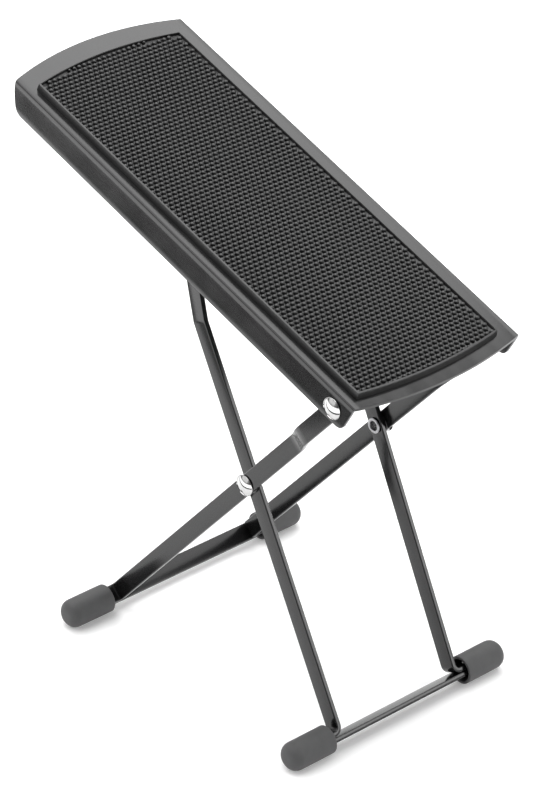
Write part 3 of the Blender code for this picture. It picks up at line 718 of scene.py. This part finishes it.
def build_rack(label, side):
    rod_x = PIVOT_FROM_CORNER - ROD_ALONG
    seat = PIVOT_BELOW_TOP - ROD_BELOW
    under = PIVOT_BELOW_TOP - SHEET_T - GAP
    bottom = PIVOT_BELOW_TOP - RACK_DROP
    slot = ROD_R + GAP
    x_low = rod_x + 0.0085
    x_high = rod_x - NOTCH_PITCH * (NOTCHES - 1) - 0.0058
    outline = [(x_high, under), (x_high, tooth_tip(x_high, bottom) + 0.0016)]
    start = x_high + 0.0012
    for k in range(NOTCHES - 1, -1, -1):
        x = rod_x - NOTCH_PITCH * k
        wall = x - slot
        outline += [(start + (wall - start) * i / 10, tooth_tip(start + (wall - start) * i / 10, bottom)) for i in range(11)]
        outline += [(at, max(z, tooth_tip(at, bottom))) for at, z in arc(x, seat, slot, math.pi, 0.0, 24)]
        start = x + slot
        outline.append((start, tooth_tip(start + 0.0001, bottom)))
    outline = [p for i, p in enumerate(outline) if i == 0 or math.dist(p, outline[i - 1]) > 0.00002]
    outline += arc(x_low - 0.002, bottom + 0.002, 0.002, math.pi * 1.5, math.pi * 1.92, 5) + [(x_low, bottom + 0.0020), (x_low, under)]
    y0, y1 = sorted((side * RACK_Y[0], side * RACK_Y[1]))
    n = len(outline)
    points = [(a, y, b) for y in (y0, y1) for a, b in outline]
    faces = [tuple(range(n)), tuple(range(2 * n - 1, n - 1, -1))]
    faces += [(i, (i + 1) % n, n + (i + 1) % n, n + i) for i in range(n)]
    web = mesh_object("rack_" + label + "_strip", points, faces, PLATE)
    f0, f1 = sorted((side * (RACK_Y[0] - RACK_FOOT), side * (RACK_Y[1] - 0.0004)))
    foot_outline = [(x_high, under), (x_high, under - RACK_T), (x_low, under - RACK_T), (x_low, under)]
    points = [(a, y, b) for y in (f0, f1) for a, b in foot_outline]
    faces = [(0, 1, 2, 3), (7, 6, 5, 4)] + [(i, (i + 1) % 4, 4 + (i + 1) % 4, 4 + i) for i in range(4)]
    foot = mesh_object("cutter", points, faces, PLATE)
    mod = web.modifiers.new("join", "BOOLEAN")
    mod.operation, mod.object, mod.solver = "UNION", foot, "EXACT"
    settle(web)
    bpy.data.objects.remove(foot, do_unlink=True)
    bevel(web, 0.00022, 2, 50.0)
    settle(web)
    finish_piece(web, LACQUER, "plate", "rack_" + label)


for label, side in SIDES:
    build_rack(label, side)

edge = 0.0005
made = lathe("ratchet_bar", [(0.0, -ROD_HALF)] + [(ROD_R - edge + edge * math.sin(a), -ROD_HALF + edge * (1 - math.cos(a)))
                                               for a in np.linspace(0, math.pi / 2, 6)]
             + [(ROD_R, y) for y in np.linspace(-ROD_HALF + 0.004, ROD_HALF - 0.004, 12)]
             + [(ROD_R - edge + edge * math.cos(a), ROD_HALF - edge * (1 - math.sin(a)))
                for a in np.linspace(0, math.pi / 2, 6)] + [(0.0, ROD_HALF)], (INNER_CROSS_TO_ROD, 0.0), INNER, 64)
finish_piece(made, ZINC, "inner_frame", "ratchet_rod")


# ------------------------------------------------------------------ end caps
def build_cap(name, foot_x, cap_y, side, matrix, body, node, seed):
    mouth, end = cap_y
    lip = 0.00045
    profile = [(0.0, end - CAP_FLOOR)] + [(CAP_BORE_R - 0.0012 + 0.0012 * math.sin(a), end - CAP_FLOOR - 0.0012 * (1 - math.cos(a)))
                                          for a in np.linspace(0, math.pi / 2, 5)]
    profile += [(CAP_BORE_R, y) for y in np.linspace(end - CAP_FLOOR - 0.003, mouth + 0.002, 5)]
    profile += [(CAP_BORE_R + lip * (1 - math.cos(a)), mouth + lip * (1 - math.sin(a))) for a in np.linspace(0, math.pi / 2, 5)]
    profile += [(CAP_R - lip + lip * math.sin(a), mouth + lip * (1 - math.cos(a))) for a in np.linspace(0, math.pi / 2, 5)]
    profile += [(CAP_R, y) for y in np.linspace(mouth + 0.002, end - CAP_ROUND - 0.001, 14)]
    profile += [(CAP_R - CAP_ROUND + CAP_ROUND * math.cos(a), end - CAP_ROUND + CAP_ROUND * math.sin(a))
                for a in np.linspace(0, math.pi / 2 - 0.02, 16)]
    flat = CAP_R - CAP_ROUND
    profile += [(flat * f, end) for f in (0.8, 0.55, 0.3)] + [(0.0, end)]
    made = lathe(name, [(r, side * y) for r, y in profile], (foot_x, 0.0), matrix, 96, 40.0)
    inverse = matrix.inverted()
    for vertex in made.data.vertices:
        p = inverse @ vertex.co
        radial = Vector((p.x - foot_x, 0.0, p.z))
        if radial.length < CAP_BORE_R + 0.0009:
            continue
        sink = 0.00009 * (0.5 + 0.5 * noise.noise(Vector((p.x * 170 + seed * 7.3, p.y * 170, p.z * 170))))
        radial.normalize()
        vertex.co -= (matrix.to_3x3() @ radial) * sink * 1.0
    finish_piece(made, VINYL, body, node)


for i, (label, side) in enumerate(SIDES):
    build_cap("end_cap_outer_" + label, 0.0, CAP_OUTER_Y, side, OUTER, "outer_frame", "cap_outer_" + label, 1 + i)
    build_cap("end_cap_inner_" + label, FOOT_IN_X, CAP_INNER_Y, side, INNER, "inner_frame", "cap_inner_" + label, 5 + i)


# ------------------------------------------------------------------ rivets and washers
def build_rivet(name, x, head_y, tail_y, side, node):
    ball = (HEAD_R ** 2 + HEAD_H ** 2) / (2 * HEAD_H)
    top_angle = math.asin(HEAD_R / ball)
    profile = [(0.0, head_y + HEAD_H)]
    for k in range(1, 17):
        a = top_angle * k / 17
        profile.append((ball * math.sin(a), head_y + HEAD_H - ball * (1 - math.cos(a))))
    profile += [(HEAD_R - 0.00012 + 0.00012 * math.cos(a), head_y + 0.00022 + 0.00022 * math.sin(a))
                for a in np.linspace(math.pi / 2, -math.pi / 2, 7)]
    profile += [(SHANK_R + 0.0002, head_y), (SHANK_R, head_y - 0.0002), (SHANK_R, tail_y + 0.0001)]
    roll_r = (FLARE_R - TAIL_BORE_R) / 2
    middle = TAIL_BORE_R + roll_r
    profile += [(middle + roll_r * math.cos(a), tail_y - 0.00045 + 0.00055 * math.sin(a))
                for a in np.linspace(math.pi * 0.30, -math.pi, 16)]
    deep = head_y - tail_y - 0.0016
    profile += [(TAIL_BORE_R, tail_y + 0.0006), (TAIL_BORE_R - 0.0001, tail_y + deep - 0.0012),
                (TAIL_BORE_R - 0.0008, tail_y + deep - 0.0004), (0.0, tail_y + deep)]
    made = lathe(name, [(r, side * y) for r, y in profile], (x, 0.0), OUTER, 72, 50.0)
    finish_piece(made, NICKEL_PLATE if "plate" in node else NICKEL, "outer_frame", node)


def build_washer(label, side):
    y0, y1 = inner_y(0.0) + GAP, OUTER_Y - STRIP_T - GAP
    r = min(0.00012, (y1 - y0) * 0.3)
    profile = [(SHANK_R + GAP, y0 + r), (SHANK_R + GAP + r, y0), (0.0055 - r, y0), (0.0055, y0 + r), (0.0055, y1 - r),
               (0.0055 - r, y1), (SHANK_R + GAP + r, y1), (SHANK_R + GAP, y1 - r), (SHANK_R + GAP, y0 + r)]
    made = lathe("spacer_" + label, [(q, side * y) for q, y in profile], (CROSS_X, 0.0), OUTER, 64, 50.0)
    finish_piece(made, LACQUER, "outer_frame", "cross_washer_" + label)


for label, side in SIDES:
    build_rivet("rivet_cross_" + label, CROSS_X, OUTER_Y + GAP, inner_y(0.0) - STRIP_T - GAP - 0.0001, side, "cross_rivet_" + label)
    build_rivet("rivet_plate_" + label, PIVOT_X, PLATE_W / 2 + GAP, OUTER_Y + OUTER_JOG - STRIP_T - GAP, side, "plate_rivet_" + label)
    build_washer(label, side)


def build_foot_rivet(name, foot_x, cap_y, side, matrix, body, node):
    up = foot_x + GAP / 2 + STRIP_T + 0.00005
    down = foot_x - GAP / 2 - STRIP_T - 0.00005
    y = side * (cap_y[0] + 0.0062)
    profile = [(0.0, up + 0.0011)] + [(FOOT_RIVET_HEAD_R * math.sin(a), up + 0.0011 * math.cos(a)) for a in np.linspace(0.15, math.pi / 2, 8)]
    profile += [(FOOT_RIVET_R, up), (FOOT_RIVET_R, down), (FOOT_RIVET_HEAD_R - 0.0004, down),
                (FOOT_RIVET_HEAD_R - 0.0006, down - 0.0004), (FOOT_RIVET_HEAD_R - 0.0009, down - 0.0008), (0.0, down - 0.0008)]
    segments, points, faces, rings = 40, [], [], []
    for radius, x in profile:
        if radius < 1e-7:
            rings.append([len(points)])
            points.append((x, y, 0.0))
            continue
        rings.append(list(range(len(points), len(points) + segments)))
        points += [(x, y + radius * math.cos(2 * math.pi * k / segments), radius * math.sin(2 * math.pi * k / segments))
                   for k in range(segments)]
    for first, second in zip(rings, rings[1:]):
        for k in range(segments):
            j = (k + 1) % segments
            if len(first) == 1:
                faces.append((first[0], second[k], second[j]))
            elif len(second) == 1:
                faces.append((first[k], second[0], first[j]))
            else:
                faces.append((first[k], second[k], second[j], first[j]))
    finish_piece(mesh_object(name, points, faces, matrix, 50.0), ZINC, body, node)


for label, side in SIDES:
    build_foot_rivet("rivet_foot_outer_" + label, 0.0, CAP_OUTER_Y, side, OUTER, "outer_frame", "foot_rivet_outer_" + label)
    build_foot_rivet("rivet_foot_inner_" + label, FOOT_IN_X, CAP_INNER_Y, side, INNER, "inner_frame", "foot_rivet_inner_" + label)


# ------------------------------------------------------------------ floor, light and surroundings
def build_floor():
    mesh = bpy.data.meshes.new("floor")
    size = 14.0
    mesh.from_pydata([(-size, -size, 0.0), (size, -size, 0.0), (size, size, 0.0), (-size, size, 0.0)], [], [(0, 1, 2, 3)])
    made = bpy.data.objects.new("floor", mesh)
    bpy.context.scene.collection.objects.link(made)
    material = bpy.data.materials.new("pale_floor")
    material.use_nodes = True
    tree = material.node_tree
    shader = tree.nodes["Principled BSDF"]
    shader.inputs["Base Color"].default_value = (0.90, 0.90, 0.90, 1.0)
    shader.inputs["Emission Color"].default_value = (1.0, 1.0, 1.0, 1.0)
    shader.inputs["Emission Strength"].default_value = 0.18
    shader.inputs["Roughness"].default_value = 0.9
    shader.inputs["Specular IOR Level"].default_value = 0.1
    clear = tree.nodes.new("ShaderNodeBsdfTransparent")
    mix = tree.nodes.new("ShaderNodeMixShader")
    side = tree.nodes.new("ShaderNodeNewGeometry")
    tree.links.new(side.outputs["Backfacing"], mix.inputs["Fac"])
    tree.links.new(shader.outputs["BSDF"], mix.inputs[1])
    tree.links.new(clear.outputs["BSDF"], mix.inputs[2])
    tree.links.new(mix.outputs["Shader"], tree.nodes["Material Output"].inputs["Surface"])
    mesh.materials.append(material)


build_floor()


def painted_reflection_card(name, y0, y1, colour, glow):
    """Strip just above the studio floor that only shows in glossy surfaces: a painted reflection, dark, or bright where
    it glows.
    """
    mesh = bpy.data.meshes.new(name)
    mesh.from_pydata([(-2.2, y0, 0.003), (2.2, y0, 0.003), (2.2, y1, 0.003), (-2.2, y1, 0.003)], [], [(0, 1, 2, 3)])
    made = bpy.data.objects.new(name, mesh)
    bpy.context.scene.collection.objects.link(made)
    material = bpy.data.materials.new(name)
    material.use_nodes = True
    shader = material.node_tree.nodes["Principled BSDF"]
    shader.inputs["Base Color"].default_value = (*colour, 1.0)
    shader.inputs["Roughness"].default_value = 1.0
    shader.inputs["Specular IOR Level"].default_value = 0.0
    shader.inputs["Emission Color"].default_value = (1.0, 1.0, 1.0, 1.0)
    shader.inputs["Emission Strength"].default_value = glow
    mesh.materials.append(material)
    for flag in ("visible_camera", "visible_diffuse", "visible_shadow", "visible_transmission", "visible_volume_scatter"):
        setattr(made, flag, False)


# Painted dark reflection: a black strip that only glossy surfaces show, darkening the floor seen in the middle of the
# flanges.
painted_reflection_card("painted_dark_reflection_strip", -0.340, -0.252, (0.02, 0.02, 0.02), 0.0)
# Painted bright reflection: a glowing strip that only glossy surfaces show, standing in for the bright floor far off in
# front.
painted_reflection_card("painted_bright_reflection_strip", -2.2, -0.345, (0.02, 0.02, 0.02), 2.6)


def softbox(name, toward, distance, width, height, radiance, target=(0.0, 0.0, 0.14), offset=None):
    """Rectangular light that shines at the object from this direction."""
    toward = Vector(toward).normalized()
    data = bpy.data.lights.new(name, "AREA")
    data.shape = "RECTANGLE"
    data.size, data.size_y = width, height
    data.energy = radiance * math.pi * width * height
    made = bpy.data.objects.new(name, data)
    bpy.context.scene.collection.objects.link(made)
    if offset is None:
        made.rotation_mode = "QUATERNION"
        made.rotation_quaternion = toward.to_track_quat("Z", "Y")
        made.location = Vector(target) + toward * distance
    else:                                     # sides along X and across it
        side = Vector((0.0, 1.0, 0.0)).cross(toward).normalized()
        up = toward.cross(side)
        centre = Vector(target) + toward * distance + side * offset[0] + up * offset[1]
        made.matrix_world = Matrix((
            (side.x, up.x, toward.x, centre.x),
            (side.y, up.y, toward.y, centre.y),
            (side.z, up.z, toward.z, centre.z),
            (0.0, 0.0, 0.0, 1.0)))
    made.visible_camera = False
    return made


softbox("light_top", (-0.25, 0.24, 0.94), 2.2, 1.80, 2.9, 2.9, offset=(-0.51, 0.0))
softbox("light_top_front", (-0.25, 0.24, 0.94), 2.2, 1.2, 2.1, 3.7, offset=(0.60, -0.40))
softbox("light_left", (-0.86, -0.12, 0.46), 2.4, 1.5, 1.0, 1.6)
softbox("light_back_right", (0.40, 0.58, 0.71), 2.4, 1.4, 1.2, 1.7)
softbox("light_right", (0.775, 0.58, 0.26), 2.2, 0.9, 0.8, 4.4)
softbox("light_front_left", (-0.30, -0.66, 0.69), 2.4, 1.9, 1.2, 2.3)
softbox("light_front_low", (-0.45, -0.86, 0.25), 2.4, 2.2, 1.1, 0.6)


def build_world():
    world = bpy.data.worlds.new("studio")
    bpy.context.scene.world = world
    world.use_nodes = True
    tree = world.node_tree
    tree.nodes.clear()

    def node(kind, **settings):
        made = tree.nodes.new(kind)
        for key, value in settings.items():
            setattr(made, key, value)
        return made

    direction = node("ShaderNodeTexCoord").outputs["Generated"]
    split = node("ShaderNodeSeparateXYZ")
    tree.links.new(direction, split.inputs["Vector"])

    def span(value, lo, hi, a, b):
        made = node("ShaderNodeMapRange", interpolation_type="SMOOTHSTEP")
        for key, v in (("From Min", lo), ("From Max", hi), ("To Min", a), ("To Max", b)):
            made.inputs[key].default_value = v
        tree.links.new(value, made.inputs["Value"])
        return made.outputs["Result"]

    dark = node("ShaderNodeVectorMath", operation="DOT_PRODUCT")
    dark.inputs[1].default_value = tuple(Vector((0.64, -0.70, 0.32)).normalized())
    tree.links.new(direction, dark.inputs[0])
    shade = span(dark.outputs["Value"], math.cos(math.radians(44)), math.cos(math.radians(24)), 1.0, 0.16)
    band = span(split.outputs["Z"], 0.02, 0.16, 0.35, 1.0)
    back = node("ShaderNodeVectorMath", operation="DOT_PRODUCT")
    back.inputs[1].default_value = tuple(Vector((-0.45, 0.88, 0.14)).normalized())
    tree.links.new(direction, back.inputs[0])
    corner = span(back.outputs["Value"], math.cos(math.radians(34)), math.cos(math.radians(20)), 1.0, 0.15)
    product = node("ShaderNodeMath", operation="MULTIPLY")
    tree.links.new(shade, product.inputs[0])
    tree.links.new(band, product.inputs[1])
    both = node("ShaderNodeMath", operation="MULTIPLY")
    tree.links.new(product.outputs["Value"], both.inputs[0])
    tree.links.new(corner, both.inputs[1])
    strength = node("ShaderNodeMath", operation="MULTIPLY")
    tree.links.new(both.outputs["Value"], strength.inputs[0])
    strength.inputs[1].default_value = 0.62
    studio = node("ShaderNodeBackground")
    tree.links.new(strength.outputs["Value"], studio.inputs["Strength"])
    plain = node("ShaderNodeBackground")
    plain.inputs["Strength"].default_value = 1.0
    rays = node("ShaderNodeLightPath")
    mix = node("ShaderNodeMixShader")
    tree.links.new(rays.outputs["Is Camera Ray"], mix.inputs["Fac"])
    tree.links.new(studio.outputs["Background"], mix.inputs[1])
    tree.links.new(plain.outputs["Background"], mix.inputs[2])
    tree.links.new(mix.outputs["Shader"], node("ShaderNodeOutputWorld").inputs["Surface"])


build_world()
bpy.context.scene.view_settings.view_transform = "Standard"
